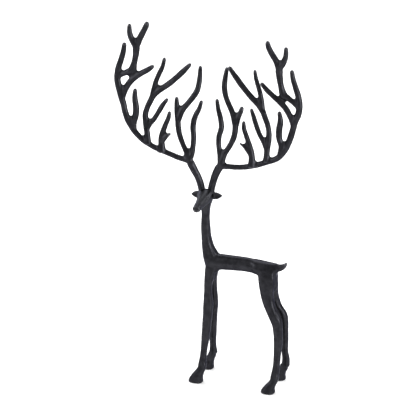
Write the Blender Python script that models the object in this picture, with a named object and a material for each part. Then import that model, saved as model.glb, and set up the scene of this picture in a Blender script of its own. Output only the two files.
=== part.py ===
"""A tall cast-iron stag that stands on four hooves and carries wide, many-tined antlers.

The whole figure is one casting. Its body stands along X with the chest at -X and the tail at +X.
The head is turned a quarter round to look along -Y, and the antlers spread in the XZ plane.
Each limb is a tube through a few hand-placed stations. The tubes are fused, smoothed so that every
crotch gets the fillet of a sand casting, and cut flat where the hooves meet the ground.
"""

import math

import bmesh
import bpy
import numpy as np
from mathutils import Vector

# Driving sizes, in metres.
HEIGHT = 0.600
ANTLER_SPAN = 0.323
STANCE_LENGTH = 0.124
STANCE_WIDTH = 0.0570
TINE_THICKNESS = 0.0096
BARREL_THICKNESS = 0.0262
HOOF_LENGTH = 0.0226

# The figure is drawn 600 parts high, and every place and girth below is in those parts.
DRAWN_HEIGHT = 600.0
PART = HEIGHT / DRAWN_HEIGHT
DRAWN_SPAN = 323.0
DRAWN_STANCE_LENGTH = 124.0
DRAWN_STANCE_WIDTH = 57.0
DRAWN_BARREL = 26.2
DRAWN_HOOF = 22.6
SPREAD = ANTLER_SPAN / (DRAWN_SPAN * PART)
STRETCH = STANCE_LENGTH / (DRAWN_STANCE_LENGTH * PART)
STRADDLE = STANCE_WIDTH / (DRAWN_STANCE_WIDTH * PART)
FATNESS = BARREL_THICKNESS / (DRAWN_BARREL * PART)
HOOF_SIZE = HOOF_LENGTH / (DRAWN_HOOF * PART)

# Surface of the casting.
SIDES = 20
SECTION_SPACING = 3.0 * PART
GRAIN = 1.4 * PART
SMOOTHING_PASSES = 12
SMOOTHING_LOSS = 0.5 * PART
KEPT_SHARE = 0.048
GROUND_DEPTH = 20.0 * PART
TINE_DEPTH_SHARE = 0.88
TIP_SHARE = 0.62

# Antlers. A station is (left out, left up, right out, right up, girth): how far out from the middle
# and up from the ground the tine passes on each antler, and its width as a share of the tine
# thickness. The two were carved by hand from one pattern, so they differ by a few parts. The depths
# are how far back the foot and the tip of the tine lie on both.
TINES = {
    "pedicle": {
        "depth": (2, -4),
        "stations": [(6.5, 317, 6.5, 317, 1.2), (9, 331, 9, 331, 1.2), (13, 345, 12.8, 345, 1.24),
                     (19.2, 358, 18.6, 360, 1.3), (27, 375, 26.6, 375, 1.36)],
    },
    "beam": {
        "depth": (-4, 11),
        "stations": [(27, 374, 27, 373.5, 1.08), (45, 375, 45, 373.7, 0.94), (64, 379.6, 64, 375.9, 0.97),
                     (84, 384.4, 84, 381.7, 0.96), (103.5, 392.2, 104, 390, 0.96),
                     (118.8, 403.2, 122.4, 399.6, 0.98), (132.2, 420, 134.6, 415.4, 1.02),
                     (139.2, 436, 141.2, 430.6, 1.04), (143.3, 452, 146.4, 448, 1.06),
                     (148.5, 465, 150.4, 465, 1.08), (152.4, 479, 155, 477, 1.08),
                     (154.8, 493, 157.7, 490, 1.08), (153.6, 509, 155.6, 505, 1.04),
                     (149.7, 524, 150.4, 521, 0.97), (145.6, 540, 144.8, 537, 0.9),
                     (143.9, 556, 142.4, 553.5, 0.8)],
    },
    "inner_tine": {
        "depth": (-4, 14),
        "stations": [(28, 374, 27, 374, 1.1), (24, 385, 24.2, 388, 0.93), (22.8, 400, 20.4, 405, 0.92),
                     (23.2, 414, 20.3, 420, 0.94), (24.6, 430, 24, 435, 0.97),
                     (21.8, 446, 21.8, 449, 0.9), (15.7, 460, 16.3, 465, 0.8),
                     (12.2, 475, 13.2, 481.5, 0.62)],
    },
    "second_tine": {
        "depth": (-4, 9),
        "stations": [(27, 373, 27, 376, 1.1), (33.8, 387.5, 32.6, 394, 0.94),
                     (40.6, 399.5, 40, 407, 0.92), (46.3, 411.5, 45.4, 420.5, 0.94),
                     (49.8, 424, 47.5, 433, 0.98), (51.5, 437, 47.4, 446, 1.06)],
    },
    "second_tine_short": {
        "depth": (9, 15),
        "stations": [(51.5, 434, 48.2, 443, 1.0), (53.9, 448, 51.4, 456, 0.92),
                     (55, 460, 55.2, 466.5, 0.84), (56, 473.5, 56.6, 474.5, 0.62)],
    },
    "second_tine_long": {
        "depth": (8, 35),
        "stations": [(50.8, 435, 47.4, 443, 1.0), (45, 452, 41.8, 460.4, 1.0),
                     (37, 463, 34.2, 472.6, 0.97), (29.2, 474, 27.4, 484, 0.96),
                     (24, 485.5, 23.2, 495, 0.98), (21.8, 499, 22, 507, 0.94),
                     (21.8, 512, 22.3, 518, 0.86), (22.4, 525.5, 23.2, 530, 0.6)],
    },
    "third_tine": {
        "depth": (-3, 3),
        "stations": [(74, 380, 80.4, 379, 1.5), (74.8, 391, 79.8, 391, 1.16), (75.6, 403, 78, 404, 1.08),
                     (73.2, 415, 73.4, 417, 0.98), (68.8, 428, 68.4, 430, 0.9),
                     (64.2, 441, 64.2, 442, 0.82), (63, 452, 63.3, 455.5, 0.56)],
    },
    "third_tine_spur": {
        "depth": (-2, -4),
        "stations": [(74, 401, 77, 402, 1.0), (68.5, 408, 71.5, 409, 0.8), (63, 413.4, 65, 414.6, 0.52),
                     (58.6, 416.4, 58.4, 419.2, 0.36)],
    },
    "fourth_tine": {
        "depth": (-2, 12),
        "stations": [(98.8, 389, 104, 391, 1.2), (100, 399, 104, 401, 1.04),
                     (102.3, 412, 104.4, 414, 1.02), (105, 425, 105.6, 427, 1.02),
                     (106.2, 438, 105.3, 440, 0.98), (103.6, 450, 102.2, 452, 0.94),
                     (99.6, 460, 96.4, 464, 0.94), (95.3, 470, 91.5, 477, 1.0)],
    },
    "fourth_tine_low": {
        "depth": (2, 15),
        "stations": [(104, 412, 104, 410, 0.95), (97.5, 423, 96, 423, 0.88), (90.8, 432, 88.6, 433.5, 0.86),
                     (85.2, 443, 82.6, 445, 0.86), (78.8, 455, 77.4, 457, 0.82),
                     (70.4, 467.5, 71, 473.5, 0.64)],
    },
    "fourth_tine_outer": {
        "depth": (12, 17.5),
        "stations": [(97, 466, 92, 472, 1.0), (94.7, 479, 90.2, 486, 0.92), (91.6, 493, 87.9, 498, 0.88),
                     (86.4, 507, 84, 511, 0.86), (80.5, 521, 79.4, 525, 0.8), (77.2, 538, 76.5, 541, 0.58)],
    },
    "fourth_tine_inner": {
        "depth": (12, 17),
        "stations": [(98, 466, 94, 470, 1.0), (87.5, 479, 85, 481, 1.03), (73.6, 489.8, 71.4, 493, 1.03),
                     (59, 503.6, 57.6, 507.2, 1.0), (45, 518.8, 44.4, 522.8, 0.96),
                     (31.6, 534.2, 32, 539.2, 0.64)],
    },
    "fifth_tine": {
        "depth": (2, 6),
        "stations": [(125, 409, 126.5, 407, 1.1), (125.2, 421, 127.4, 420, 1.06),
                     (121.8, 435, 123.6, 434, 1.08), (121.4, 449, 122.8, 448, 1.06),
                     (123.8, 464, 124.9, 463, 0.98), (123.1, 481, 122.8, 480.5, 0.6)],
    },
    "sixth_tine": {
        "depth": (6, 8),
        "stations": [(148.5, 455, 149.5, 455, 1.06), (142, 473, 142.8, 470.4, 1.04),
                     (135.8, 486, 135, 484.2, 1.1), (127, 497.2, 124.6, 494.8, 1.08),
                     (114.2, 508, 112.4, 503.8, 1.0), (103, 515.9, 102.2, 511.8, 0.94),
                     (91.6, 525.6, 90.4, 524, 0.7)],
    },
    "crown_stem": {
        "depth": (8, 7),
        "stations": [(156, 494, 157.6, 489, 0.94), (147, 500.2, 147.3, 497.4, 0.95),
                     (137.5, 505.6, 137.6, 504, 1.08), (129.7, 511, 129.5, 509, 1.34),
                     (126.4, 523, 126, 521, 1.08), (123.9, 535, 123.5, 533, 1.06),
                     (122.6, 547, 122, 545, 1.1), (123, 559, 122.5, 557.5, 1.22)],
    },
    "crown_inner": {
        "depth": (7, 6),
        "stations": [(122.8, 553, 122.5, 553, 1.1), (116.6, 568, 117.4, 566.6, 1.08),
                     (109.5, 583, 109.4, 578.7, 1.05), (104.7, 594, 104.2, 590, 0.98),
                     (103.2, 601, 102.6, 600.6, 0.72)],
    },
    "crown_outer": {
        "depth": (7, 5.5),
        "stations": [(122.6, 553, 122.3, 553, 1.06), (130, 566, 129.8, 565, 1.04),
                     (133.4, 578, 134.3, 578, 0.97), (133.2, 593.4, 135, 595, 0.7)],
    },
}

# Torso. A station is (along, up, half depth, half width), with each section upright across X.
BARREL = [(8, 200, 10, 9), (18, 201.5, 13.4, 12.4), (32, 203, 13.2, 12.4), (50, 204, 12.7, 12.0),
          (68, 204.6, 12.1, 11.8), (84, 203.6, 12.0, 12.0), (98, 202.6, 12.6, 12.4),
          (110, 202.8, 12.0, 11.4), (119, 204.5, 9.6, 8.8), (125, 206.5, 6.6, 5.8)]
TAIL = [(112, 205, 7.0, 6.0), (122, 207.3, 6.6, 5.4), (130, 210.4, 5.6, 4.6), (134.5, 212.8, 4.4, 3.8),
        (139.5, 216.8, 2.8, 2.6)]

# Neck and chest. A station is (along, up, half length, half width), with each section level.
NECK = [(13, 186, 9, 9), (13, 194, 12.5, 12), (11, 204, 13.5, 12.4), (8.2, 213, 12.8, 11.2),
        (4.9, 222, 10.6, 9.7), (2.2, 233, 8.7, 8.5), (0.3, 246, 7.7, 7.9), (-0.6, 258, 7.2, 7.5),
        (-0.7, 272, 6.6, 6.9), (-0.6, 286, 6.5, 6.8), (-0.2, 298, 7.8, 8.0), (0, 307, 10.6, 9.4),
        (0, 316, 10.8, 9.0)]

# Legs. A station is (along, aside, up, half length, half width), with each section level.
FORELEG = [(12, 6, 202, 9, 5), (10.5, 8, 190, 9, 6), (9, 9.2, 178, 7.8, 6.2), (7.6, 10.4, 164, 6.6, 6.0),
           (7.4, 11.2, 150, 6.6, 6.2), (8.2, 11.8, 134, 8.2, 6.8), (8.0, 13.4, 118, 8.2, 6.8),
           (6.9, 15.6, 98, 7.1, 6.4), (5.4, 19.2, 70, 6.0, 5.6), (4.0, 23.2, 45, 4.9, 5.2),
           (2.8, 25.6, 29, 6.5, 5.9)]
FORE_HOOF = [(3.4, 25.2, 32, 5.6, 5.6), (0.8, 26.6, 23, 7.3, 6.6), (-3.4, 28.0, 15.5, 8.8, 7.6),
             (-6.8, 28.2, 8.0, 10.3, 8.8), (-7.8, 28.5, 3.0, 11.3, 9.4), (-7.8, 28.5, -2.0, 10.7, 8.8)]
HINDLEG = [(106, 6, 206, 11, 5), (106.4, 8, 192, 13.6, 6.6), (107.2, 9, 176, 12.6, 7.4),
           (109.6, 10.4, 156, 10.3, 7.4), (115.8, 12.2, 138, 9.1, 6.8), (124.2, 13.6, 123, 9.8, 6.6),
           (128.2, 14.0, 108, 8.1, 6.4), (129.2, 14.6, 82, 7.0, 6.0), (128.6, 18.8, 56, 5.3, 5.2),
           (128.0, 22.0, 39, 5.7, 5.4), (126.4, 24.0, 26, 6.6, 6.0)]
HIND_HOOF = [(126.8, 23.6, 30, 6.0, 5.8), (124.4, 25.4, 20.5, 7.3, 6.8), (119.6, 27.4, 13.5, 8.7, 7.8),
             (116.2, 28.2, 7.0, 10.0, 8.8), (115.7, 28.5, 3.0, 10.9, 9.4), (115.7, 28.5, -2.0, 10.3, 8.8)]

# Head. A station is (forward, up, half width, half height), with each section upright across Y.
HEAD = [(-10, 313, 5, 5), (-7, 314, 9.5, 9.5), (-1, 315, 13.1, 12), (6, 315, 13.0, 12),
        (13, 314, 11.4, 11), (20, 312.5, 9.4, 9.6), (28, 311, 7.8, 8.4), (36, 310, 7.0, 7.4),
        (42, 309.5, 6.8, 6.8), (46.5, 309, 5.0, 5.0)]

# Ears. A station is (out, up, half thickness, half height), and they lie a little behind the brow.
EAR = [(9, 314, 4.0, 4.2), (14, 314.8, 2.6, 5.9), (19, 315.4, 2.2, 5.2), (23, 315.6, 2.0, 3.7),
       (27, 315.8, 1.4, 1.4)]
EAR_BACK = 0.5

# How far the far hooves stand ahead of the near ones.
FAR_LEAD = 3.2

AXIS_X = Vector((1, 0, 0))
AXIS_Y = Vector((0, 1, 0))
AXIS_Z = Vector((0, 0, 1))


def clear_scene():
    for obj in list(bpy.data.objects):
        bpy.data.objects.remove(obj, do_unlink=True)


def smooth_rows(rows, steps=6):
    """Rows between the given ones on a curve through them all, so places and girths swell together."""
    rows = [np.array(row, float) for row in rows]
    rows = [2 * rows[0] - rows[1]] + rows + [2 * rows[-1] - rows[-2]]
    filled = []
    for before, start, end, after in zip(rows, rows[1:], rows[2:], rows[3:]):
        slope = end - before
        bend = 2 * before - 5 * start + 4 * end - after
        twist = 3 * start - before - 3 * end + after
        for step in range(steps):
            t = step / steps
            filled.append(0.5 * (2 * start + slope * t + bend * t**2 + twist * t**3))
    filled.append(rows[-2])
    return np.array(filled)


def lengths_along(rows):
    gaps = np.linalg.norm(np.diff(rows[:, :3], axis=0), axis=1)
    return np.concatenate([[0], np.cumsum(gaps)])


def even_sections(rows, tip):
    """Rows at even spacing whose two girths, the last two columns, close in a round tip at the far end."""
    run = lengths_along(rows)
    count = max(3, round((run[-1] - tip) / SECTION_SPACING))
    stops = [(stop, 1.0) for stop in np.linspace(0, run[-1] - tip, count)]
    if tip:
        turns = np.radians([20, 40, 58, 74, 86])
        stops += [(run[-1] - tip + tip * math.sin(turn), math.cos(turn)) for turn in turns]
    sections = []
    for stop, share in stops:
        row = np.array([np.interp(stop, run, column) for column in rows.T])
        row[3:] *= share
        sections.append(row)
    return sections


def add_tube(mesh, sections, across=None):
    """Skins oval rings (x, y, z, half, other half), set across two fixed axes or square to the path."""
    centres = [Vector(section[:3]) for section in sections]
    rings = []
    for index, section in enumerate(sections):
        if across:
            first, second = across
        else:
            ahead = centres[min(index + 1, len(centres) - 1)]
            behind = centres[max(index - 1, 0)]
            along = (ahead - behind).normalized()
            first = along.cross(AXIS_Y).normalized()
            second = first.cross(along)
        ring = []
        for side in range(SIDES):
            turn = 2 * math.pi * side / SIDES
            offset = first * section[3] * math.cos(turn) + second * section[4] * math.sin(turn)
            ring.append(mesh.verts.new(centres[index] + offset))
        rings.append(ring)
    for ring, following in zip(rings, rings[1:]):
        for side in range(SIDES):
            after = (side + 1) % SIDES
            mesh.faces.new((ring[side], ring[after], following[after], following[side]))
    mesh.faces.new(list(reversed(rings[0])))
    mesh.faces.new(rings[-1])


def add_antler(mesh, side):
    """One antler, with side 1 for the right one at +X and -1 for the left one at -X."""
    for tine in TINES.values():
        foot_depth, tip_depth = tine["depth"]
        last = len(tine["stations"]) - 1
        rows = []
        for index, (left_out, left_up, right_out, right_up, girth) in enumerate(tine["stations"]):
            out, up = (right_out, right_up) if side > 0 else (left_out, left_up)
            depth = foot_depth + (tip_depth - foot_depth) * index / last
            half = girth * TINE_THICKNESS / 2 + SMOOTHING_LOSS
            place = (side * out * PART * SPREAD, depth * PART, up * PART)
            rows.append((*place, half, half * TINE_DEPTH_SHARE))
        rows = smooth_rows(rows)
        add_tube(mesh, even_sections(rows, 2 * TIP_SHARE * rows[-1][3]))


def add_torso(mesh):
    for stations, fatness in ((BARREL, FATNESS), (TAIL, 1.0)):
        rows = [(along * PART * STRETCH, 0, up * PART, depth * PART * fatness + SMOOTHING_LOSS,
                 width * PART * fatness + SMOOTHING_LOSS)
                for along, up, depth, width in stations]
        add_tube(mesh, even_sections(smooth_rows(rows), 3 * PART), (AXIS_Z, AXIS_Y))
    rows = [(along * PART, 0, up * PART, length * PART + SMOOTHING_LOSS, width * PART + SMOOTHING_LOSS)
            for along, up, length, width in NECK]
    add_tube(mesh, even_sections(smooth_rows(rows), 0), (AXIS_X, AXIS_Y))


def add_leg(mesh, side, stations, hoof):
    """One leg and its hoof, with side 1 for the far side at +Y and -1 for the near side at -Y."""
    for rows, size, lead in ((stations, 1.0, 0.0), (hoof, HOOF_SIZE, side * FAR_LEAD / 2)):
        rows = [((along - lead) * PART * STRETCH, side * aside * PART * STRADDLE, up * PART,
                 length * PART * size + SMOOTHING_LOSS, width * PART * size + SMOOTHING_LOSS)
                for along, aside, up, length, width in rows]
        add_tube(mesh, even_sections(smooth_rows(rows), 0), (AXIS_X, AXIS_Y))


def add_head(mesh):
    rows = [(0, -forward * PART, up * PART, width * PART + SMOOTHING_LOSS, height * PART + SMOOTHING_LOSS)
            for forward, up, width, height in HEAD]
    add_tube(mesh, even_sections(smooth_rows(rows), 2 * PART), (AXIS_X, AXIS_Z))
    for side in (-1, 1):
        rows = [(side * out * PART, EAR_BACK * PART, up * PART, thick * PART + SMOOTHING_LOSS,
                 tall * PART + SMOOTHING_LOSS)
                for out, up, thick, tall in EAR]
        add_tube(mesh, even_sections(smooth_rows(rows), 1 * PART), (AXIS_Y, AXIS_Z))


def iron_material():
    iron = bpy.data.materials.new("blackened_cast_iron")
    iron.use_nodes = True
    shader = iron.node_tree.nodes["Principled BSDF"]
    shader.inputs["Base Color"].default_value = (0.030, 0.030, 0.033, 1.0)
    shader.inputs["Roughness"].default_value = 0.5
    shader.inputs["Metallic"].default_value = 0.6
    return iron


def make_ground():
    """The level block that trims the four hooves flat at the height of the ground."""
    mesh = bmesh.new()
    bmesh.ops.create_cube(mesh, size=1.0)
    bmesh.ops.scale(mesh, vec=(HEIGHT, HEIGHT, GROUND_DEPTH), verts=mesh.verts)
    data = bpy.data.meshes.new("ground")
    mesh.to_mesh(data)
    mesh.free()
    ground = bpy.data.objects.new("ground", data)
    ground.location = (0, 0, -GROUND_DEPTH / 2)
    ground.hide_render = True
    ground.display_type = "WIRE"
    bpy.context.scene.collection.objects.link(ground)
    return ground


def make_stag(ground):
    mesh = bmesh.new()
    add_torso(mesh)
    add_head(mesh)
    for side in (-1, 1):
        add_leg(mesh, side, FORELEG, FORE_HOOF)
        add_leg(mesh, side, HINDLEG, HIND_HOOF)
        add_antler(mesh, side)
    bmesh.ops.recalc_face_normals(mesh, faces=mesh.faces)
    data = bpy.data.meshes.new("stag")
    mesh.to_mesh(data)
    mesh.free()
    data.materials.append(iron_material())
    stag = bpy.data.objects.new("stag", data)
    bpy.context.scene.collection.objects.link(stag)

    fuse = stag.modifiers.new("fuse", "REMESH")
    fuse.mode = "VOXEL"
    fuse.voxel_size = GRAIN
    fillet = stag.modifiers.new("fillet", "SMOOTH")
    fillet.factor = 0.5
    fillet.iterations = SMOOTHING_PASSES
    facets = stag.modifiers.new("facets", "DECIMATE")
    facets.ratio = KEPT_SHARE
    soles = stag.modifiers.new("soles", "BOOLEAN")
    soles.operation = "DIFFERENCE"
    soles.object = ground
    return stag


def centre(stag):
    """Sets the figure so that its bounding box is centred over the origin, with the soles at Z 0."""
    bpy.context.view_layer.update()
    graph = bpy.context.evaluated_depsgraph_get()
    corners = [Vector(corner) for corner in stag.evaluated_get(graph).bound_box]
    for axis in (0, 1):
        places = [corner[axis] for corner in corners]
        stag.location[axis] = -(min(places) + max(places)) / 2


clear_scene()
centre(make_stag(make_ground()))
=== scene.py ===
# %% [markdown]
# # A blackened cast iron stag
#
# The object is a tall, slim stag for a mantel or side table, about 0.60 m high, poured in iron as
# one casting and blackened. It stands on four small hooves, its head is turned aside, and its
# antlers spread in one upright sheet, more than twice as wide as the body is long. The founder's
# pattern was carved by hand: limbs are slightly flat on their sides, every crotch is webbed, and
# nothing is quite straight.
#
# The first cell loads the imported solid. Its box is kept, because the dressed stag has to fill
# exactly the same space.

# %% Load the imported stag
import math

import bmesh
import bpy
import numpy as np
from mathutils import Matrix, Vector, noise


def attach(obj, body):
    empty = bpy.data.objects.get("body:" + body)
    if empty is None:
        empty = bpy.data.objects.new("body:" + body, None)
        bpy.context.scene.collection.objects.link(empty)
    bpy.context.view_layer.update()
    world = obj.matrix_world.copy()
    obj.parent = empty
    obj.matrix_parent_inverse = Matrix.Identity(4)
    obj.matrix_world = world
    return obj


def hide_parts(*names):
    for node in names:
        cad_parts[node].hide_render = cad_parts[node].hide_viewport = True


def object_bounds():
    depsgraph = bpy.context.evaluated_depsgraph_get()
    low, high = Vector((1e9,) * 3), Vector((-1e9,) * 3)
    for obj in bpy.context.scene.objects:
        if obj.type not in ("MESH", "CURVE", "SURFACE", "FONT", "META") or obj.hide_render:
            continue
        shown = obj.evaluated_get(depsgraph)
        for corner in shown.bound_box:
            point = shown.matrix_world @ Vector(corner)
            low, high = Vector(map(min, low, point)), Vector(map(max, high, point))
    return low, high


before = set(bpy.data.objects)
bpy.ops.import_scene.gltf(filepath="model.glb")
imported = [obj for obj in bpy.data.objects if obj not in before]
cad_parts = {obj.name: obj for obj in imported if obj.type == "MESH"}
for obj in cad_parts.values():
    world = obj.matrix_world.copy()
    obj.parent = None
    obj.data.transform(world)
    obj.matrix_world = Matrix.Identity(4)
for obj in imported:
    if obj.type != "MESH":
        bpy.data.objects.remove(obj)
solid_low, solid_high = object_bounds()
print("packed solid, mm:", [round(1000 * side) for side in solid_high - solid_low])

# %% [markdown]
# ## A drawing in parts of the height
#
# A free form like this has no true circles or flats to dimension. It could be sculpted by eye,
# but a drawing can be measured and corrected. So the stag is drawn 600 parts high, as the founder
# would rule a grid over a sketch, and each limb is a row of stations: places on its middle line,
# each with a girth. One part is a millimetre on the real casting.

# %% The drawing's scale
PARTS_HIGH = 600.6
PART = (solid_high.z - solid_low.z) / PARTS_HIGH
TINE_GIRTH = 10.0 * PART
GRAIN = 0.8 * PART
FINE_GRAIN = 0.62 * PART
print(f"one part is {1000 * PART:.3f} mm")

# %% [markdown]
# ## A smooth line through stations
#
# A carver works from a few marks and lets the knife find the curve between them. The same is done
# here with a spline that passes through each station, so that the place and the girth swell
# together. A Bezier curve would do as well, but its handles are harder to read than plain
# stations.

# %% Curves through the stations
RING_SPACING = 2 * PART
TIP_TURNS = (15, 30, 45, 60, 74, 86)


def smooth_rows(rows, steps=6):
    """Rows on a spline through the given rows, with this many steps from each to the next."""
    rows = [np.array(row, float) for row in rows]
    rows = [2 * rows[0] - rows[1]] + rows + [2 * rows[-1] - rows[-2]]
    filled = []
    for before, start, end, after in zip(rows, rows[1:], rows[2:], rows[3:]):
        slope = end - before
        bend = 2 * before - 5 * start + 4 * end - after
        twist = 3 * start - before - 3 * end + after
        for step in range(steps):
            t = step / steps
            filled.append(0.5 * (2 * start + slope * t + bend * t**2 + twist * t**3))
    filled.append(rows[-2])
    return np.array(filled)


def even_sections(rows, tip):
    """Rows at even spacing, whose last two columns, the girths, close in a round tip."""
    gaps = np.linalg.norm(np.diff(rows[:, :3], axis=0), axis=1)
    run = np.concatenate([[0], np.cumsum(gaps)])
    count = max(3, round((run[-1] - tip) / RING_SPACING))
    stops = [(stop, 1.0) for stop in np.linspace(0, run[-1] - tip, count)]
    if tip:
        turns = np.radians(TIP_TURNS)
        stops += [(run[-1] - tip + tip * math.sin(turn), math.cos(turn)) for turn in turns]
    sections = []
    for stop, share in stops:
        row = np.array([np.interp(stop, run, column) for column in rows.T])
        row[3:] *= share
        sections.append(row)
    return sections


print(f"rings every {1000 * RING_SPACING:.1f} mm along a limb")

# %% [markdown]
# ## A knife-cut skin
#
# The tines aren't round bars. Light falls on each in three bands: a bevel, a flat front and
# another bevel, as a carver's knife leaves them. So the section is a rectangle with its corners
# cut off. The bevel is the share of each half side that the cut takes: 0 leaves a square, 1 makes
# a diamond. The edge between two cuts can stay crisp, as on the limbs, or be rubbed soft, as on
# the head.

# %% Skin a limb with rings
SIDES = 32
CRISP_EDGE, RUBBED_EDGE = 40, 5
AXIS_X, AXIS_Y, AXIS_Z = Vector((1, 0, 0)), Vector((0, 1, 0)), Vector((0, 0, 1))


def knife_cut(turn, bevel, edge):
    """How far out a ring goes along its two axes, at this turn round it."""
    across, along = math.cos(turn), math.sin(turn)
    flat = max(abs(across), abs(along))
    corner = (abs(across) + abs(along)) / (2 - bevel)
    reach = (flat**edge + corner**edge) ** (-1 / edge)
    return across * reach, along * reach


def close_skin(mesh, rings):
    """Faces between each ring and the next, and a cap at each end."""
    for ring, following in zip(rings, rings[1:]):
        for side in range(len(ring)):
            after = (side + 1) % len(ring)
            mesh.faces.new((ring[side], ring[after], following[after], following[side]))
    mesh.faces.new(list(reversed(rings[0])))
    mesh.faces.new(rings[-1])


def add_limb(mesh, sections, bevel, across=None, edge=CRISP_EDGE):
    """A closed skin over sections (x, y, z, half, other half).

    The rings lie across two given axes, or else square to the path.
    """
    centres = [Vector(section[:3]) for section in sections]
    rings = []
    for index, section in enumerate(sections):
        if across:
            first, second = across
        else:
            ahead = centres[min(index + 1, len(centres) - 1)]
            behind = centres[max(index - 1, 0)]
            along = (ahead - behind).normalized()
            first = along.cross(AXIS_Y).normalized()
            second = first.cross(along)
        ring = []
        for side in range(SIDES):
            cut = knife_cut(2 * math.pi * side / SIDES, bevel, edge)
            offset = first * section[3] * cut[0] + second * section[4] * cut[1]
            ring.append(mesh.verts.new(centres[index] + offset))
        rings.append(ring)
    close_skin(mesh, rings)


print("points in each ring:", SIDES)

# %% [markdown]
# ## The antlers
#
# Each antler is one beam, which sweeps out from the crown and up, with six tines on its inner
# side and a forked crown. The two sides were carved from one pattern but differ by a few
# millimetres, so each station holds both. All of it lies within 20 mm of one upright sheet,
# except the long second tines, which lean back. From the front they cross the tips of the fourth
# tines.

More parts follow.
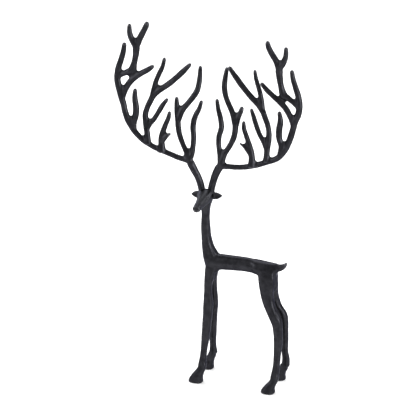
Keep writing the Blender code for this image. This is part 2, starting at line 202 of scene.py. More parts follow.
# %% Stations of the antlers
# A station is (left out, left up, right out, right up, girth), in parts, with the girth as a
# share of TINE_GIRTH. Depth is how far back the foot and the tip of each tine lie.
TINES = {
    "pedicle": {
        "depth": (2, -4),
        "stations": [(6.5, 317, 7, 317, 1.18), (9, 331, 9.7, 331, 1.16),
                     (13, 345, 13.6, 345, 1.18), (19.4, 358, 19, 360, 1.26),
                     (27.2, 375, 27, 375, 1.34)],
    },
    "beam": {
        "depth": (-4, 11),
        "stations": [(27, 374, 27, 373.3, 1.08), (45, 375, 45, 373.4, 0.9),
                     (64, 379.6, 64, 375.6, 0.9), (84, 384.4, 84, 381.5, 0.92),
                     (103.5, 392.2, 104, 390, 0.95), (118.8, 403.2, 122.4, 399.6, 0.98),
                     (132.2, 420, 134.6, 415.4, 1.02), (139.2, 436, 141.2, 430.6, 1.04),
                     (143.3, 452, 146.6, 448, 1.06), (148.3, 465, 150.6, 465, 1.08),
                     (152.2, 479, 155.2, 477, 1.08), (154.8, 493, 157.8, 490, 1.06),
                     (153.8, 509, 156.4, 505, 1.02), (149.8, 524, 151.5, 521, 0.97),
                     (145.6, 540, 145.8, 537, 0.88), (144, 556, 142.8, 553.5, 0.72)],
    },
    "inner_tine": {
        "depth": (-4, 14),
        "stations": [(28, 374, 27, 374, 1.1), (23.7, 385, 24.7, 388, 0.9),
                     (22.4, 400, 21.4, 405, 0.88), (22.8, 414, 20.9, 420, 0.9),
                     (24.6, 430, 24.2, 435, 0.94), (22, 446, 21.7, 449, 0.88),
                     (16, 460, 16.4, 465, 0.78), (12.4, 474.4, 13.3, 481, 0.58)],
    },
    "second_tine": {
        "depth": (-4, 9),
        "stations": [(27, 373, 27, 376, 1.1), (33.8, 387.5, 32.6, 394, 0.9),
                     (40.8, 399.5, 40, 407, 0.88), (46.5, 411.5, 45.4, 420.5, 0.92),
                     (50, 424, 47.5, 433, 0.96), (51.7, 437, 47.4, 446, 1.04)],
    },
    "second_tine_short": {
        "depth": (9, 15),
        "stations": [(51.7, 434, 48.2, 443, 0.98), (54, 448, 51.4, 456, 0.88),
                     (55.2, 460, 55.2, 466.5, 0.8), (56.2, 473, 56.6, 474.2, 0.6)],
    },
    "second_tine_long": {
        "depth": (8, 35),
        "stations": [(50.8, 435, 47.2, 443, 1.0), (45.3, 452.2, 41.2, 460.4, 0.98),
                     (37.5, 463.4, 33.5, 472.6, 0.93), (29.8, 474.4, 26.8, 484, 0.92),
                     (24.2, 485.5, 22.8, 495, 0.94), (22.1, 499, 21.8, 507, 0.88),
                     (22.2, 512, 22.2, 518, 0.8), (22.9, 524.6, 23.1, 529.5, 0.56)],
    },
    "third_tine": {
        "depth": (-3, 3),
        "stations": [(74.2, 380, 80.2, 379, 1.5), (75.2, 391, 79.6, 391, 1.14),
                     (76, 403, 77.8, 404, 1.04), (73.8, 415, 73.6, 417, 0.92),
                     (69.5, 428, 68.7, 430, 0.84), (64.9, 441, 64.5, 442, 0.76),
                     (63.6, 451.6, 63.5, 455, 0.52)],
    },
    "third_tine_spur": {
        "depth": (-2, -4),
        "stations": [(74, 401, 77, 401.4, 0.98), (68.5, 407.6, 71.5, 408.2, 0.78),
                     (63, 412.8, 65, 413.8, 0.5), (58.8, 415.8, 58.6, 418.2, 0.34)],
    },
    "fourth_tine": {
        "depth": (-2, 12),
        "stations": [(98.8, 389, 104, 391, 1.2), (100, 399, 104, 401, 1.0),
                     (102.3, 412, 104.4, 414, 0.98), (105, 425, 105.7, 427, 0.98),
                     (106.2, 438, 105.6, 440, 0.94), (103.6, 450, 102.7, 452, 0.92),
                     (99.6, 460, 97, 464, 0.94), (95.3, 470, 92, 477, 1.0)],
    },
    "fourth_tine_low": {
        "depth": (2, 15),
        "stations": [(104, 412, 104, 410, 0.95), (97.8, 423, 96.6, 423, 0.82),
                     (91.3, 432, 89.2, 433.5, 0.8), (85.6, 443, 83.2, 445, 0.82),
                     (79.2, 455.2, 78, 457, 0.78), (71, 467.6, 71.5, 473, 0.58)],
    },
    "fourth_tine_outer": {
        "depth": (12, 17.5),
        "stations": [(97, 466, 92.4, 472, 1.0), (94.8, 479, 90.6, 486, 0.9),
                     (91.8, 493, 88.3, 498, 0.84), (86.8, 507, 84.5, 511, 0.8),
                     (80.9, 521, 79.8, 525, 0.74), (77.5, 537.5, 76.8, 540.5, 0.54)],
    },
    "fourth_tine_inner": {
        "depth": (12, 17),
        "stations": [(98, 466, 94.2, 470.4, 1.0), (87.5, 479, 85, 482.2, 1.02),
                     (73.4, 490, 71.6, 494, 1.0), (58.6, 504, 57.8, 508.2, 0.97),
                     (44.8, 519.2, 44.8, 523.4, 0.93), (32.2, 534.2, 32.2, 539.4, 0.62)],
    },
    "fifth_tine": {
        "depth": (2, 6),
        "stations": [(125, 409, 127, 407, 1.06), (124.8, 421, 128.2, 420, 0.98),
                     (122.1, 435, 124.3, 434, 1.04), (121.8, 449, 123.9, 448, 1.07),
                     (124.2, 464, 125.7, 463, 0.96), (123.6, 480.8, 123.2, 480, 0.58)],
    },
    "sixth_tine": {
        "depth": (6, 8),
        "stations": [(146.5, 457, 148, 457, 0.96), (142, 472.4, 143.2, 470.8, 0.96),
                     (136, 485.4, 135.3, 484.8, 1.0), (127, 497, 124.8, 495.4, 0.98),
                     (114.2, 507.8, 112.4, 504.4, 0.92), (103, 515.6, 102.2, 512.4, 0.88),
                     (92.4, 524.6, 90.6, 524.2, 0.62)],
    },
    "crown_stem": {
        "depth": (8, 7),
        "stations": [(156, 494.5, 157.6, 489.5, 0.9), (147, 501, 147.3, 498, 0.88),
                     (137.5, 506.4, 137.8, 504.6, 1.0), (129.7, 511.2, 129.9, 509.2, 1.28),
                     (126.3, 523, 126.6, 521, 1.02), (123.9, 535, 124.3, 533, 1.02),
                     (122.6, 547, 122.9, 545, 1.16), (122.8, 559, 122.9, 557.5, 1.36)],
    },
    "crown_inner": {
        "depth": (7, 6),
        "stations": [(122.8, 553, 122.5, 553, 1.1), (116.6, 568, 117.8, 567, 1.04),
                     (109.5, 583, 110, 579, 1.0), (104.7, 594, 104.6, 590, 0.92),
                     (103.2, 601.2, 102.9, 600.2, 0.68)],
    },
    "crown_outer": {
        "depth": (7, 5.5),
        "stations": [(122.6, 553, 122.3, 553, 1.06), (130, 566, 129.8, 565, 1.0),
                     (133.4, 578, 134.6, 578, 0.9), (133.4, 593, 135.3, 594.6, 0.64)],
    },
}

# %% Skin one antler
ROUND_TIP_SHARE = 0.62
FRONT_SHARE = 0.88
TINE_BEVEL = 0.66
SETTLING_LOSS = 0.12 * PART
FORKS_APART = [("pedicle", "beam", "inner_tine", "second_tine", "fourth_tine"),
               ("pedicle", "beam", "third_tine", "fifth_tine"),
               ("beam", "sixth_tine", "crown")]


def add_antler(mesh, side, names):
    """The named tines of one antler, with side 1 for the one at +X and -1 for the one at -X."""
    for name, tine in TINES.items():
        if not name.startswith(names):
            continue
        foot_depth, tip_depth = tine["depth"]
        last = len(tine["stations"]) - 1
        rows = []
        for index, (left_out, left_up, right_out, right_up, girth) in enumerate(tine["stations"]):
            out, up = (right_out, right_up) if side > 0 else (left_out, left_up)
            depth = foot_depth + (tip_depth - foot_depth) * index / last
            half = girth * TINE_GIRTH / 2 + SETTLING_LOSS
            rows.append((side * out * PART, depth * PART, up * PART, half, half * FRONT_SHARE))
        rows = smooth_rows(rows)
        add_limb(mesh, even_sections(rows, 2 * ROUND_TIP_SHARE * rows[-1][3]), TINE_BEVEL)


print("tines on each antler:", len(TINES))

# %% [markdown]
# ## One casting from many limbs
#
# The limbs pass through each other. Exact booleans could join them, but would leave sharp
# creases, and iron poured in sand has none. A voxel remesh fuses everything that overlaps into
# one skin. To web the crotches, the skin is then swollen, fused again and shrunk back: where two
# limbs meet, the swollen skins run together and the corner stays filled.
#
# Some tines pass each other only two millimetres apart, and swelling would weld them. So each
# antler is webbed as three forks, with no such pair in one fork, and the forks are laid over each
# other.

# %% Fuse and settle a piece
def settle(piece):
    """Works a piece's modifiers into its mesh."""
    graph = bpy.context.evaluated_depsgraph_get()
    shape = bpy.data.meshes.new_from_object(piece.evaluated_get(graph))
    piece.modifiers.clear()
    piece.data = shape


def fuse(piece, grain, passes):
    """Remeshes a piece into one skin at this grain, then smooths it a few times."""
    remesh = piece.modifiers.new("fuse", "REMESH")
    remesh.mode = "VOXEL"
    remesh.voxel_size = grain
    remesh.use_smooth_shade = True
    soften = piece.modifiers.new("soften", "SMOOTH")
    soften.factor = 0.5
    soften.iterations = passes
    settle(piece)

# %% [markdown]
# Webbing moves every point of a skin at once. Blender can change them one by one, but on a
# hundred thousand points that is slow, so whole tables of places and normals are read, worked out
# with numpy and written back in one go.

# %% Web the crotches
def read_points(mesh, layer, name):
    values = np.empty(3 * len(mesh.vertices), np.float32)
    layer.foreach_get(name, values)
    return values.reshape(-1, 3).astype(float)


def places_of(mesh):
    return read_points(mesh, mesh.vertices, "co")


def normals_of(mesh):
    return read_points(mesh, mesh.vertex_normals, "vector")


def move_points(mesh, places):
    mesh.vertices.foreach_set("co", places.astype(np.float32).ravel())
    mesh.update()


def cast(mesh, name):
    """An object from loose skins, which are turned outward first."""
    bmesh.ops.recalc_face_normals(mesh, faces=mesh.faces)
    piece = bpy.data.objects.new(name, bpy.data.meshes.new(name))
    mesh.to_mesh(piece.data)
    mesh.free()
    bpy.context.scene.collection.objects.link(piece)
    return piece


def webbed(mesh, web):
    """The skin of overlapping limbs as one mesh, with its crotches filled to a radius."""
    piece = cast(mesh, "webbed")
    fuse(piece, GRAIN, 0)
    move_points(piece.data, places_of(piece.data) + web * normals_of(piece.data))
    fuse(piece, GRAIN, 1)
    move_points(piece.data, places_of(piece.data) - web * normals_of(piece.data))
    skin = piece.data
    bpy.data.objects.remove(piece)
    return skin


pattern = bmesh.new()
TINE_WEB = 2.3 * PART
for side in (-1, 1):
    for names in FORKS_APART:
        fork = bmesh.new()
        add_antler(fork, side, names)
        pattern.from_mesh(webbed(fork, TINE_WEB))
print("antlers:", len(pattern.verts), "points")

# %% [markdown]
# ## Barrel, tail and neck
#
# The barrel is a slim bar that sags a little in the middle and thickens at the haunch. The tail
# is a short flame that curls up. The neck stands nearly plumb, thinnest below the jaw, and flares
# into the chest. Their sections stay upright or level, so that the joints between them have no
# twist.

# %% Skin the torso
# Barrel and tail: (along, up, half depth, half width). Neck: (along, up, half length, half width).
BARREL = [(8, 200, 10.6, 9), (18, 201.6, 14.2, 12.6), (32, 203.2, 13.9, 11.6),
          (50, 204.2, 13.4, 10.8), (68, 205, 13.0, 10.4), (79, 204.4, 12.9, 10.2),
          (85, 203.9, 13.1, 12.6), (93, 203.4, 13.3, 13.4), (103, 203, 13.1, 13.0),
          (112, 203.2, 12.6, 11.6), (119, 204.8, 10.5, 9.2), (125, 206.8, 7.5, 6.5)]
TAIL = [(112, 204.2, 7.4, 6.4), (122, 206.5, 6.8, 5.6), (130, 209.3, 5.9, 5.0),
        (135, 212.6, 5.2, 4.8), (139.4, 216.8, 4.3, 4.1)]
NECK = [(13, 186, 9, 9), (13.2, 194, 12.3, 12), (11.4, 204, 13.1, 12.4), (8.6, 213, 12.4, 11.2),
        (5.2, 222, 10.3, 9.7), (2.4, 233, 8.4, 8.5), (0.5, 246, 7.4, 7.9), (-0.4, 258, 6.9, 7.5),
        (-0.6, 272, 6.4, 6.9), (-0.5, 286, 6.3, 6.8), (-0.2, 298, 7.6, 8.0), (0, 307, 10.4, 9.4),
        (0, 316, 10.8, 9.0)]
# The chest and the rump reach down between the legs, which part only below them.
CHEST = [(11, 204, 12, 9), (11, 190, 10.5, 8), (10.5, 178, 8.6, 6.5), (10.5, 170, 6.6, 5)]
RUMP = [(108, 204, 12, 9), (110, 190, 11.3, 8), (112.5, 178, 10, 6.5), (114, 168, 7.4, 5)]
BODY_BEVEL, BACK_BEVEL = 0.45, 0.62
TAIL_TIP = 3 * PART


def settled(size):
    """A size in parts as a real half, with what the smoothing takes off added."""
    return size * PART + SETTLING_LOSS


body = bmesh.new()
for stations in (BARREL, TAIL):
    rows = [(along * PART, 0, up * PART, settled(depth), settled(width))
            for along, up, depth, width in stations]
    sections = even_sections(smooth_rows(rows), TAIL_TIP)
    add_limb(body, sections, BACK_BEVEL, (AXIS_Z, AXIS_Y), RUBBED_EDGE)
for stations in (NECK, CHEST, RUMP):
    rows = [(along * PART, 0, up * PART, settled(length), settled(width))
            for along, up, length, width in stations]
    add_limb(body, even_sections(smooth_rows(rows), 0), BODY_BEVEL, (AXIS_X, AXIS_Y))
print("torso:", len(body.verts), "points")

# %% [markdown]
# ## Legs and hooves
#
# The fore legs are almost straight, with a small knee. The hind legs carry a thigh, a hock that
# points back and a plumb cannon. Each ends in a fetlock and a boot-shaped hoof with its toe
# forward. The shanks and hooves of the far side stand a little ahead of the near ones, and their
# fetlocks a little behind. A leg runs outward as it falls, so daylight shows low down between the
# two of a pair.

# %% Skin the legs
# A station is (along, aside, up, half length, half width), with each section level.
FORELEG = [(12, 6, 202, 9, 5), (10.7, 8, 190, 8.8, 6), (9.2, 9.2, 178, 7.5, 6.2),
           (7.9, 10.4, 164, 6.3, 6.0), (7.8, 11.2, 150, 6.2, 6.0), (8.6, 11.8, 134, 7.6, 6.6),
           (8.4, 13.4, 118, 7.6, 6.6), (7.1, 14.6, 98, 6.9, 6.5), (5.6, 18.2, 70, 6.0, 5.8),
           (4.2, 22.9, 45, 4.9, 5.1), (3.0, 25.6, 29, 6.3, 5.9)]
FORE_HOOF = [(3.4, 25.2, 32, 5.4, 5.6), (0.6, 26.6, 23, 6.9, 6.6), (-3.6, 28.0, 15.5, 8.4, 7.6),
             (-6.9, 28.2, 8.0, 10.0, 8.8), (-7.8, 28.5, 3.0, 11.2, 9.4),
             (-7.8, 28.5, -2.0, 10.9, 9.0)]
HINDLEG = [(106, 6, 206, 11, 5), (106.6, 8, 192, 13.2, 6.6), (107.4, 9, 176, 12.1, 7.4),
           (109.8, 10.4, 156, 9.9, 7.4), (116, 12.2, 138, 8.8, 6.8), (124.4, 13.6, 123, 9.5, 6.6),
           (128.4, 14.0, 108, 7.7, 6.4), (129.4, 14.6, 82, 6.6, 6.0), (129, 18.8, 56, 5.3, 5.2),
           (128.4, 22.0, 39, 5.7, 5.4), (126.6, 24.0, 26, 6.4, 6.0)]
HIND_HOOF = [(126.8, 23.6, 30, 5.8, 5.8), (124.2, 25.4, 20.5, 6.9, 6.8),
             (119.5, 27.4, 13.5, 8.3, 7.8), (116.1, 28.2, 7.0, 9.8, 8.8),
             (115.7, 28.5, 3.0, 10.8, 9.4), (115.7, 28.5, -2.0, 10.5, 9.0)]
HOOF_LEAD = 3.2
FETLOCK_LAG, FETLOCK_FOOT, FETLOCK_TOP = 0.4, 20, 40
FAR_SHANK_LEAD, SHANK_TOP = 1.0, 140


def add_leg(mesh, side, leg, hoof):
    """One leg and its hoof, with side 1 for the far side at +Y and -1 for the near side at -Y."""
    for stations, lead in ((leg, 0.0), (hoof, side * HOOF_LEAD / 2)):
        rows = []
        for along, aside, up, length, width in stations:
            lag = 0.0
            if side > 0 and FETLOCK_FOOT < up < FETLOCK_TOP:
                lag = FETLOCK_LAG
            elif side > 0 and FETLOCK_TOP < up < SHANK_TOP:
                lag = -FAR_SHANK_LEAD
            rows.append(((along - lead + lag) * PART, side * aside * PART, up * PART,
                         settled(length), settled(width)))
        add_limb(mesh, even_sections(smooth_rows(rows), 0), BODY_BEVEL, (AXIS_X, AXIS_Y))


for side in (-1, 1):
    add_leg(body, side, FORELEG, FORE_HOOF)
    add_leg(body, side, HINDLEG, HIND_HOOF)
print("torso and legs:", len(body.verts), "points")

# %% [markdown]
# ## Body and antlers in one skin
#
# The body is webbed as the antlers were, with a wider radius, for the belly runs into the legs in
# a soft curve. Then all is fused once more. A single smoothing pass rounds the knife cuts without
# washing out the flat faces between them.

# %% Fuse the body with the antlers
BODY_WEB = 3.6 * PART
pattern.from_mesh(webbed(body, BODY_WEB))
stag = cast(pattern, "cast_iron_stag")
fuse(stag, GRAIN, 1)
print("fused skin:", len(stag.data.vertices), "points")

# %% [markdown]
# ## Level soles
#
# The casting stands flat, so whatever hangs below the floor line is pressed up to it. The next
# remesh turns the flattened points into a clean sole with a slightly rounded edge.

# %% Level the soles
points = places_of(stag.data)
print("pressed up to the floor:", int((points[:, 2] < 0).sum()), "points")
points[:, 2] = np.maximum(points[:, 2], 0)
move_points(stag.data, points)

# %% [markdown]
# ## The head
#
# The head is turned a quarter round, so it points at -Y, level, with a broad flat brow, cheeks
# that draw in below the eyes, and a blunt muzzle. It is one more limb, but joined only now, at a
# finer grain, because the wide webs of the body would fill the corner under the jaw.

# %% Skin the head
# A station is (forward, up, half width, half height), with each section upright across Y.
HEAD = [(-10, 313, 5, 5), (-7, 314, 9.5, 9.5), (-1, 315, 13.1, 12), (6, 315, 13.0, 12),
        (13, 314, 11.4, 11), (20, 312.5, 9.4, 9.6), (28, 311, 7.7, 8.4), (36, 310, 6.8, 7.4),
        (42, 309.5, 6.6, 6.8), (46.5, 309, 5.4, 5.2)]
HEAD_BEVEL = 0.5
MUZZLE_TIP = 2 * PART
details = bmesh.new()
rows = [(0, -forward * PART, up * PART, settled(width), settled(height))
        for forward, up, width, height in HEAD]
sections = even_sections(smooth_rows(rows), MUZZLE_TIP)
add_limb(details, sections, HEAD_BEVEL, (AXIS_X, AXIS_Z), RUBBED_EDGE)
print("head:", len(details.verts), "points")

# %% [markdown]
# ## Ears
#
# The ears are thin leaves that stand out sideways, hollow towards the front. A leaf with a hollow
# is a limb whose rings are crescents: the front half of each ring is pulled back in the middle.
# The left tip hangs lower than the right one, as the head is tipped a little.

# %% Shape the ears
# A ring is (share of the way out, share of the full height, share of the hollow).
EAR_RINGS = [(0.0, 0.9, 0.0), (0.14, 0.95, 0.35), (0.28, 0.96, 0.85), (0.42, 1.0, 1.0),
             (0.58, 0.9, 1.0), (0.74, 0.68, 0.9), (0.87, 0.42, 0.7), (0.96, 0.2, 0.3),
             (1.0, 0.08, 0.0)]
EAR_HEIGHT = 6.3 * PART
EAR_THICKNESS = 2.9 * PART
EAR_HOLLOW = 3.5 * PART
EAR_TAPER = 0.45
EAR_ROUNDING = 0.7


def add_ear(mesh, root, tip):
    """One ear from its root to its tip, both places in parts, with its hollow towards -Y."""
    root, tip = Vector(root) * PART, Vector(tip) * PART
    outward = (tip - root).normalized()
    upward = (AXIS_Z - outward * outward.z).normalized()
    forward = upward.cross(outward)
    if forward.y > 0:
        forward.negate()
    rings = []
    for way, height, hollow in EAR_RINGS:
        left_over = 1 - EAR_TAPER * way
        thickness = EAR_THICKNESS * left_over
        ring = []
        for side in range(SIDES):
            turn = 2 * math.pi * side / SIDES
            bulge = abs(math.sin(turn)) ** EAR_ROUNDING
            front = thickness * math.copysign(bulge, math.sin(turn))
            if front > 0:
                front -= EAR_HOLLOW * left_over * hollow * math.sin(turn) ** 2
            offset = upward * EAR_HEIGHT * height * math.cos(turn) + forward * front
            ring.append(mesh.verts.new(root.lerp(tip, way) + offset))
        rings.append(ring)
    close_skin(mesh, rings)


add_ear(details, (-9.5, 0.5, 314.8), (-26.2, 2.5, 312.4))
add_ear(details, (9.5, 0.5, 315.6), (26.8, 3.0, 317.2))
details.from_mesh(stag.data)
bmesh.ops.recalc_face_normals(details, faces=details.faces)
details.to_mesh(stag.data)
details.free()
fuse(stag, FINE_GRAIN, 2)
print("finer skin:", len(stag.data.vertices), "points")

# %% [markdown]
# ## Carving the face and limbs
#
# On the real stag the face is only hinted at: a hollow with a small eye, a ridge from the ear's
# root to the eye, the edge of the jaw, nostrils and the line of the mouth. Modelling them as
# separate bits would leave seams. Instead the fine skin is carved like wax. A touch pushes one
# spot in or out, and a stroke does the same along a line. Both act along the skin's own direction
# and fade smoothly.

# %% Tools for carving
points = places_of(stag.data)
outward = normals_of(stag.data)
STROKE_MARGIN = 4
STROKE_FADE = 5


def touch(place, reach, height):
    """Raises the skin round one place, or sinks it if the height is below 0.

    The reach has its own length along X, Y and Z. All sizes are in parts.
    """
    gone = (points - np.array(place) * PART) / (np.array(reach) * PART)
    share = np.exp(-(gone**2).sum(1))
    points[:] += outward * (share * height * PART)[:, None]


def stroke(path, width, height):
    """Raises or sinks the skin along a line through a few places, fading at both ends."""
    path = smooth_rows(np.array(path, float) * PART, 5)
    margin = STROKE_MARGIN * width * PART
    near = np.all((points > path.min(0) - margin) & (points < path.max(0) + margin), 1)
    close = points[near]
    best = np.zeros(len(close))
    for index, (start, end) in enumerate(zip(path, path[1:])):
        along = end - start
        share = np.clip((close - start) @ along / (along @ along), 0, 1)
        gap = np.linalg.norm(close - start - share[:, None] * along, axis=1)
        whole = (index + share) / (len(path) - 1)
        fade = np.clip(np.minimum(whole, 1 - whole) * STROKE_FADE, 0, 1)
        best = np.maximum(best, fade * np.exp(-(gap / (width * PART)) ** 2))
    points[near] += outward[near] * (best * height * PART)[:, None]


def both_sides(path):
    """The same line on the two sides of the head."""
    return [path, [(-x, y, z) for x, y, z in path]]


print("points to carve:", len(points))

# %% Carve the face
for side in (-1, 1):
    touch((side * 8.6, -20, 317.2), (2.6, 4.2, 2.8), -1.7)
    touch((side * 7.6, -20, 317.0), (1.5, 1.9, 1.5), 1.1)
    touch((side * 10.5, -11, 309), (4, 5, 4), -0.7)
    touch((side * 7.4, -33, 310.5), (3, 5, 3), -0.5)
    touch((side * 3.4, -47, 310.8), (1.3, 2.4, 1.1), -1.3)
for line in both_sides([(8.2, -14, 321.2), (7.4, -20, 321.0), (6.2, -26, 318.8)]):
    stroke(line, 1.3, 0.8)
for line in both_sides([(12.8, -1, 321.5), (11.6, -8, 320), (9.8, -15, 317.4)]):
    stroke(line, 1.7, 0.8)
for line in both_sides([(8.6, -3, 301.5), (7.4, -15, 302.5), (6.0, -30, 303)]):
    stroke(line, 1.8, 0.6)
for line in both_sides([(7.0, -33, 306.4), (6.0, -41, 305.4), (3.6, -47.5, 305.0)]):
    stroke(line, 0.8, -0.7)
for line in both_sides([(6.6, -41, 309.0), (5.6, -42.5, 313.0), (2.4, -43.5, 315.6)]):
    stroke(line, 0.9, -0.45)
touch((0, -12, 326), (4, 9, 4), -0.6)
touch((0, -30, 319), (3.2, 12, 3), 0.4)
carved = np.linalg.norm(points - places_of(stag.data), axis=1)
print(f"face carved up to {1000 * carved.max():.1f} mm")

# %% [markdown]
# The haunch starts with a shallow step in the flank, the tail has a groove down each side, and a
# faint line parts each hoof from the pastern.

# %% Carve the body and hooves
BAND_POINTS, BAND_DROP, BAND_TILT = 17, 1.5, 3.5
for side in (-1, 1):
    stroke([(82, side * 12, 214), (80.5, side * 12.4, 204), (82, side * 12, 192)], 3.0, -0.6)
    stroke([(125, side * 5, 208.5), (131, side * 4.6, 211), (137, side * 3.4, 215)], 1.2, -0.9)
    stroke([(16, side * 12, 216), (17, side * 12.6, 204), (15, side * 12, 192)], 4.0, -0.5)
    stroke([(12, side * 16, 132), (11.6, side * 17, 118), (9, side * 21, 84)], 1.6, -0.35)
    stroke([(126, side * 20, 112), (127, side * 20.4, 92), (127, side * 23, 62)], 1.6, -0.35)
    for hoof in (FORE_HOOF, HIND_HOOF):
        along, aside, up, length, width = hoof[2]
        ring = []
        for turn in np.linspace(0, 2 * math.pi, BAND_POINTS):
            reach = (length * math.cos(turn), width * math.sin(turn))
            ring.append((along - side * HOOF_LEAD / 2 + reach[0], side * aside + reach[1],
                         up - BAND_DROP + BAND_TILT * math.cos(turn)))
        stroke(ring, 0.9, -0.4)
move_points(stag.data, points)
print("the skin's own points moved, none added:", len(points))

# %% [markdown]
# ## The hand in the surface
#
# Sand castings from a carved pattern are never even. Broad, very shallow swells catch the light
# in soft patches. They are real form, so they belong in the mesh and not in the material.
# Blender's own noise gives them, at two sizes, with an amount well under half a millimetre.

# %% Uneven surface
points = places_of(stag.data)
outward = normals_of(stag.data)
SWELLS = [(15 * PART, 0.34 * PART), (5.5 * PART, 0.13 * PART)]
EVEN_FOOT = 6 * PART
unevenness = np.zeros(len(points))
for size, amount in SWELLS:
    unevenness += [amount * noise.noise(Vector(point / size)) for point in points]
unevenness *= np.clip(points[:, 2] / EVEN_FOOT, 0, 1)
move_points(stag.data, points + outward * unevenness[:, None])
print(f"swells up to {1000 * np.abs(unevenness).max():.2f} mm")

# %% [markdown]
# ## Fewer faces, same form
#
# The fine skin is heavier than it needs to be on the long plain limbs. Decimation by collapse
# removes points where the surface is nearly flat and keeps them in the face and the crotches.

# %% Thin out the skin
MOST_TRIANGLES = 192_000
stag.data.calc_loop_triangles()
thin = stag.modifiers.new("thin", "DECIMATE")
thin.ratio = min(1.0, MOST_TRIANGLES / len(stag.data.loop_triangles))
settle(stag)
for face in stag.data.polygons:
    face.use_smooth = True
stag.data.calc_loop_triangles()
print("triangles:", len(stag.data.loop_triangles))

# %% [markdown]
# ## The same space as the solid
#
# Smoothing and swells change the outer size by a fraction of a millimetre. The skin is laid back
# into the solid's box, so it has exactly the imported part's size and stands where the part stands.

# %% Fit to the solid
points = places_of(stag.data)
low, high = points.min(0), points.max(0)
solid_size = np.array(solid_high - solid_low)
stretch = solid_size / (high - low)
points = np.array(solid_low) + (points - low) * stretch
move_points(stag.data, points)
drawing_origin = np.array(solid_low) - low * stretch
print("stretched by", [round(float(share), 4) for share in stretch])

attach(stag, "root")
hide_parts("stag")

# %% [markdown]
# ## Where the black wears and gathers, with painted highlight and shade
#
# Blacking rubs thin on ridges and tips and gathers, dull, in hollows. On top of that the ridges
# carry a painted highlight and the hollows painted shade. Blender's Pointiness could tell them
# apart, but only one renderer knows it. Measured on the mesh and stored with it, the same thing
# works anywhere: a point that stands proud of its neighbours is on a ridge. The face is made
# lighter and duller than the rest, so it gets a measure too.

# %% Measure ridges and hollows
EVENING_PASSES, SHARP_PERCENTILE = 6, 95
FACE_MIDDLE, FACE_REACH = np.array((0, -17, 312)), np.array((12, 21, 14))
MOST_FACE_NEARNESS = 1.6

edges = np.empty(2 * len(stag.data.edges), np.int32)
stag.data.edges.foreach_get("vertices", edges)
edges = edges.reshape(-1, 2)
points, outward = places_of(stag.data), normals_of(stag.data)
count = np.bincount(edges.ravel(), minlength=len(points))


def mean_of_neighbours(values):
    """For each point, the mean of these values over the points that share an edge with it."""
    total = np.zeros_like(values)
    np.add.at(total, edges[:, 0], values[edges[:, 1]])
    np.add.at(total, edges[:, 1], values[edges[:, 0]])
    return total / (count[:, None] if values.ndim > 1 else count)


spacing = np.zeros(len(points))
lengths = np.linalg.norm(points[edges[:, 0]] - points[edges[:, 1]], axis=1)
np.add.at(spacing, edges[:, 0], lengths)
np.add.at(spacing, edges[:, 1], lengths)
spacing /= count
proud = ((points - mean_of_neighbours(points)) * outward).sum(1) / spacing**2
for step in range(EVENING_PASSES):
    proud = 0.5 * proud + 0.5 * mean_of_neighbours(proud)
middle, spread = np.median(proud), np.percentile(proud, SHARP_PERCENTILE) - np.median(proud)
from_face = ((points - drawing_origin) / PART - FACE_MIDDLE) / FACE_REACH
measures = {"ridge": (proud - middle) / spread, "hollow": (middle - proud) / spread,
            "face_nearness": MOST_FACE_NEARNESS * np.exp(-(from_face**2).sum(1))}
for name, values in measures.items():
    layer = stag.data.attributes.new(name, "FLOAT", "POINT")
    layer.data.foreach_set("value", np.clip(values, 0, 1).astype(np.float32))
    print(f"{name}: {100 * np.clip(values, 0, 1).mean():.0f} percent of the skin")

# %% [markdown]
# ## Blackened iron
#
# Heated and oiled iron grows a black oxide that is part of the metal, so it shines as a metal
# does, only very darkly and a trace blue. That makes it a metal shader with a mirror colour near
# 3 percent. A coated plastic would glow along every edge seen at a slant, while the photograph's
# edges are its darkest lines, and the shader's edge tint keeps them dark. The sand gives three
# sizes of texture: mottling a centimetre wide, a fine grain and small pits.

# %% Material helpers
class Finish:
    """A material's node tree, with short ways to add and join nodes."""

    def __init__(self, name):
        self.material = bpy.data.materials.new(name)
        self.material.use_nodes = True
        self.tree = self.material.node_tree
        self.shader = self.tree.nodes["Principled BSDF"]

    def node(self, kind, links=None, **settings):
        made = self.tree.nodes.new(kind)
        for setting, value in settings.items():
            setattr(made, setting, value)
        for socket, value in (links or {}).items():
            if isinstance(value, bpy.types.NodeSocket):
                self.tree.links.new(value, made.inputs[socket])
            else:
                made.inputs[socket].default_value = value
        return made

    def noise(self, place, size, detail, roughness):
        settings = {"Vector": place, "Scale": 1 / size, "Detail": detail, "Roughness": roughness}
        return self.node("ShaderNodeTexNoise", settings).outputs["Fac"]

    def spread(self, value, low, high, to_low, to_high):
        links = {0: value, 1: low, 2: high, 3: to_low, 4: to_high}
        return self.node("ShaderNodeMapRange", links).outputs[0]

    def blend(self, share, first, second):
        mixed = self.node("ShaderNodeMix", {0: share, 6: first, 7: second}, data_type="RGBA")
        return mixed.outputs[2]

    def measured(self, name):
        return self.node("ShaderNodeAttribute", attribute_name=name).outputs["Fac"]

    def feed(self, socket, value):
        self.tree.links.new(value, self.shader.inputs[socket])

    def fix(self, **values):
        """Sets plain values on the shader's own sockets, such as Base_Color for Base Color."""
        for socket, value in values.items():
            self.shader.inputs[socket.replace("_", " ")].default_value = value

# %% Satin black over sand-cast iron
DEEP_BLACK = (0.0162, 0.0162, 0.0190, 1)
WORN_BLACK = (0.0305, 0.0305, 0.0350, 1)
# Worn iron on ridges, which is also a painted highlight.
RUBBED_AND_HIGHLIGHT_IRON = (0.068, 0.068, 0.076, 1)
LIGHTER_FACE_IRON = (0.043, 0.044, 0.048, 1)
# Blacking gathered in hollows, which is also painted shade.
DUST_AND_SHADE_BLACK = (0.0160, 0.0158, 0.0172, 1)
DARK_EDGE = (0.5, 0.5, 0.54, 1)
MOTTLE_SIZE, GRAIN_SIZE, PIT_SIZE = 0.011, 0.0011, 0.0021
GRAIN_RELIEF, PIT_RELIEF = 0.0002, 0.0003

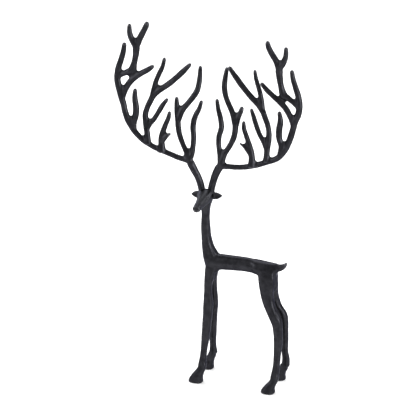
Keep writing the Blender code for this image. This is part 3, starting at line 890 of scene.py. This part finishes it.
iron = Finish("blackened_cast_iron")
place = iron.node("ShaderNodeTexCoord").outputs["Object"]
mottling = iron.noise(place, MOTTLE_SIZE, 5, 0.6)
grain = iron.noise(place, GRAIN_SIZE, 3, 0.6)
cells = iron.node("ShaderNodeTexVoronoi", {"Vector": place, "Scale": 1 / PIT_SIZE})
pits = cells.outputs["Distance"]

colour = iron.blend(iron.spread(mottling, 0.36, 0.64, 0, 1), DEEP_BLACK, WORN_BLACK)
# Lighter and duller round the face.
face_share = iron.spread(iron.measured("face_nearness"), 0.1, 1.0, 0.0, 0.85)
colour = iron.blend(face_share, colour, LIGHTER_FACE_IRON)
# Ridges and tips are lightened: rubbed wear and a painted highlight.
rubbing_and_highlight = iron.spread(iron.measured("ridge"), 0.45, 1.0, 0.0, 0.7)
colour = iron.blend(rubbing_and_highlight, colour, RUBBED_AND_HIGHLIGHT_IRON)
# Hollows are darkened: gathered blacking and painted shade.
dust_and_shade = iron.spread(iron.measured("hollow"), 0.3, 1.0, 0.0, 0.6)
colour = iron.blend(dust_and_shade, colour, DUST_AND_SHADE_BLACK)
iron.feed("Base Color", colour)
satin = iron.spread(mottling, 0.3, 0.7, 0.27, 0.39)
dull = iron.spread(mottling, 0.3, 0.7, 0.52, 0.62)
iron.feed("Roughness", iron.node("ShaderNodeMix", {0: face_share, 2: satin, 3: dull}).outputs[0])
iron.fix(Metallic=1.0, Specular_Tint=DARK_EDGE)

pitting = iron.spread(pits, 0.0, 0.35, 0.0, 1.0)
fine = iron.node("ShaderNodeBump",
                 {"Strength": 0.25, "Distance": GRAIN_RELIEF, "Height": grain}).outputs[0]
skin = iron.node("ShaderNodeBump",
                 {"Strength": 0.12, "Distance": PIT_RELIEF, "Height": pitting, "Normal": fine})
iron.feed("Normal", skin.outputs[0])
stag.data.materials.clear()
stag.data.materials.append(iron.material)
print("finish:", iron.material.name, "with", len(iron.tree.nodes), "nodes")

# %% [markdown]
# ## A plain white studio
#
# The photograph is a cut-out on white. Dark metal shows nothing but reflections: the flat faces
# turned to the viewer mirror the white floor in front, evenly, and the cuts beside them mirror
# the room. The bright lines lie on upper left cuts of the left antler and upper right ones of the
# right antler and legs. So two softboxes stand behind at the left and right, a weaker one in
# front at the left, and one hangs overhead and behind, where the brow and the level tines look.
# Two small boxes, one at each side, draw the narrow bright lines. The strengths were found by
# lighting the stag with one lamp at a time and weighing the results against the photograph.

# %% Floor and light
FLOOR_REACH = 8.0
floor_mesh = bpy.data.meshes.new("floor")
corners = [(-FLOOR_REACH, -FLOOR_REACH, 0), (FLOOR_REACH, -FLOOR_REACH, 0),
           (FLOOR_REACH, FLOOR_REACH, 0), (-FLOOR_REACH, FLOOR_REACH, 0)]
floor_mesh.from_pydata(corners, [], [(0, 1, 2, 3)])
floor = bpy.data.objects.new("floor", floor_mesh)
bpy.context.scene.collection.objects.link(floor)
white = Finish("white_floor")
white.fix(Base_Color=(0.95, 0.95, 0.95, 1), Roughness=0.9, Specular_IOR_Level=0.1)
floor_mesh.materials.append(white.material)

world = bpy.data.worlds.new("studio")
bpy.context.scene.world = world
world.use_nodes = True
room_light = world.node_tree.nodes["Background"].inputs
room_light["Color"].default_value = (1, 1, 1, 1)
room_light["Strength"].default_value = 0.8

MIDDLE = Vector((0, 0, 0.35))


def add_softbox(name, place, size, watts):
    """A square lamp at this place in metres, turned to the middle of the stag."""
    light = bpy.data.lights.new(name, "AREA")
    light.shape = "SQUARE"
    light.size = size
    light.energy = watts
    box = bpy.data.objects.new(name, light)
    box.location = place
    box.rotation_euler = (MIDDLE - Vector(place)).to_track_quat("-Z", "Y").to_euler()
    bpy.context.scene.collection.objects.link(box)


LAMPS = [("left_softbox", (-1.3, 0.7, 0.9), 0.9, 16.5),
         ("left_front_softbox", (-1.2, -0.9, 0.9), 0.9, 8.0),
         ("right_softbox", (1.2, 0.6, 1.0), 0.9, 12.0),
         ("overhead_softbox", (-0.4, 0.9, 1.9), 1.2, 17.5),
         ("left_rim_light", (-1.5, -0.05, 0.8), 0.5, 5.5),
         ("right_rim_light", (1.4, -0.6, 0.4), 0.5, 9.0)]
for lamp in LAMPS:
    add_softbox(*lamp)
print("lamps:", len(LAMPS))

# %% [markdown]
# ## The camera
#
# The near and far hooves are almost the same size in the photograph, so it was taken from far
# away, and a camera without perspective matches it. It stands 21 degrees round towards the tail
# and 24.2 degrees up. One pixel of the 416 by 416 photograph is 1.6 mm on the stag.

# %% Camera at the photograph's angle
ROUND, UP = math.radians(21.0), math.radians(24.2)
PIXEL = 1.6e-3
IMAGE_SIDE = 416
ORIGIN_PIXEL = (206.0, 374.9)
CAMERA_DISTANCE = 3
toward_camera = Vector((math.sin(ROUND) * math.cos(UP), -math.cos(ROUND) * math.cos(UP),
                        math.sin(UP)))
rightward = Vector((math.cos(ROUND), math.sin(ROUND), 0))
upward = toward_camera.cross(rightward)
aim = Vector(drawing_origin)
aim += rightward * (IMAGE_SIDE / 2 - ORIGIN_PIXEL[0]) * PIXEL
aim += upward * (ORIGIN_PIXEL[1] - IMAGE_SIDE / 2) * PIXEL

camera = bpy.data.objects.new("camera", bpy.data.cameras.new("camera"))
camera.data.type = "ORTHO"
camera.data.ortho_scale = IMAGE_SIDE * PIXEL
camera.location = aim + toward_camera * CAMERA_DISTANCE
camera.rotation_euler = toward_camera.to_track_quat("Z", "Y").to_euler()
bpy.context.scene.collection.objects.link(camera)
bpy.context.scene.camera = camera
bpy.context.scene.view_settings.view_transform = "Standard"
print("camera aims at", [round(value, 4) for value in aim])
